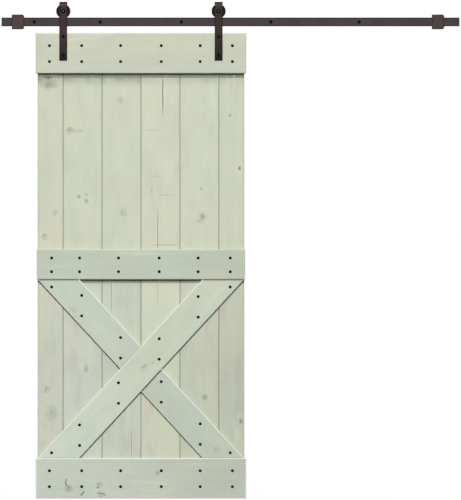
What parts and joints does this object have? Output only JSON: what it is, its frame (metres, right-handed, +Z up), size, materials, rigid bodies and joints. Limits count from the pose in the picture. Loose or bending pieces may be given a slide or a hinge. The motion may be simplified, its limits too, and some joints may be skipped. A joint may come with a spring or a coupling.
{
  "type": "sliding barn door",
  "caption": "Ledged and braced board door with an X below its middle rail, hung by bent strap hangers on grooved wheels that roll along a flat wall track between end stops.",
  "frame": {"origin": "on the wall plane at mid-height of the track, half way between the first and the last wall screw", "axes": "+X along the track to the right as seen from the room, +Y from the room into the wall, +Z up"},
  "size_m": [2.1, 0.1148, 2.2783],
  "materials": {
    "sage_pine": "matte",
    "bronze_coat": "satin",
    "black_fasteners": "satin",
    "black_wheel": "satin",
    "bearing_steel": "polished"
  },
  "bodies": {
    "track": {"track": "bronze_coat", "spacer_1": "bronze_coat", "spacer_2": "bronze_coat", "spacer_3": "bronze_coat", "spacer_4": "bronze_coat", "spacer_5": "bronze_coat", "wall_screws": "black_fasteners", "left_stop": "bronze_coat", "left_stop_set_screws": "black_fasteners", "right_stop": "bronze_coat", "right_stop_set_screws": "black_fasteners"},
    "door": {"board_1": "sage_pine", "board_2": "sage_pine", "board_3": "sage_pine", "board_4": "sage_pine", "board_5": "sage_pine", "board_6": "sage_pine", "top_rail": "sage_pine", "middle_rail": "sage_pine", "bottom_rail": "sage_pine", "long_brace": "sage_pine", "upper_brace": "sage_pine", "lower_brace": "sage_pine", "top_rail_screws": "black_fasteners", "middle_rail_screws": "black_fasteners", "bottom_rail_screws": "black_fasteners", "brace_screws": "black_fasteners", "left_strap": "bronze_coat", "left_bearing_inner_ring": "bearing_steel", "left_axle_bolt": "black_fasteners", "left_axle_nut": "black_fasteners", "left_axle_bushes": "bearing_steel", "left_strap_bolts": "black_fasteners", "left_strap_washers": "black_fasteners", "left_strap_nuts": "black_fasteners", "right_strap": "bronze_coat", "right_bearing_inner_ring": "bearing_steel", "right_axle_bolt": "black_fasteners", "right_axle_nut": "black_fasteners", "right_axle_bushes": "bearing_steel", "right_strap_bolts": "black_fasteners", "right_strap_washers": "black_fasteners", "right_strap_nuts": "black_fasteners"},
    "left_wheel": {"left_wheel": "black_wheel", "left_bearing_outer_ring": "bearing_steel", "left_retaining_ring": "black_fasteners"},
    "right_wheel": {"right_wheel": "black_wheel", "right_bearing_outer_ring": "bearing_steel", "right_retaining_ring": "black_fasteners"},
    "left_ball_cage": {"left_bearing_cage": "bearing_steel", "left_bearing_balls": "bearing_steel"},
    "right_ball_cage": {"right_bearing_cage": "bearing_steel", "right_bearing_balls": "bearing_steel"}
  },
  "joints": [
    {"name": "door_slide", "type": "slide", "parent": "track", "child": "door", "axis": [1, 0, 0], "range_m": [-0.155, 0.949]},
    {"name": "left_wheel_turn", "type": "hinge", "parent": "door", "child": "left_wheel", "pos_m": [-0.61175, -0.038, 0.04925], "axis": [0, 1, 0], "continuous": true},
    {"name": "left_ball_cage_turn", "type": "hinge", "parent": "door", "child": "left_ball_cage", "pos_m": [-0.61175, -0.038, 0.04925], "axis": [0, 1, 0], "continuous": true},
    {"name": "right_wheel_turn", "type": "hinge", "parent": "door", "child": "right_wheel", "pos_m": [0.10075, -0.038, 0.04925], "axis": [0, 1, 0], "continuous": true},
    {"name": "right_ball_cage_turn", "type": "hinge", "parent": "door", "child": "right_ball_cage", "pos_m": [0.10075, -0.038, 0.04925], "axis": [0, 1, 0], "continuous": true}
  ],
  "couplings": [
    {"joint": "left_wheel_turn", "follows": "door_slide", "rad_per_m": 34.483},
    {"joint": "left_ball_cage_turn", "follows": "door_slide", "rad_per_m": 21.379},
    {"joint": "right_wheel_turn", "follows": "door_slide", "rad_per_m": 34.483},
    {"joint": "right_ball_cage_turn", "follows": "door_slide", "rad_per_m": 21.379}
  ]
}
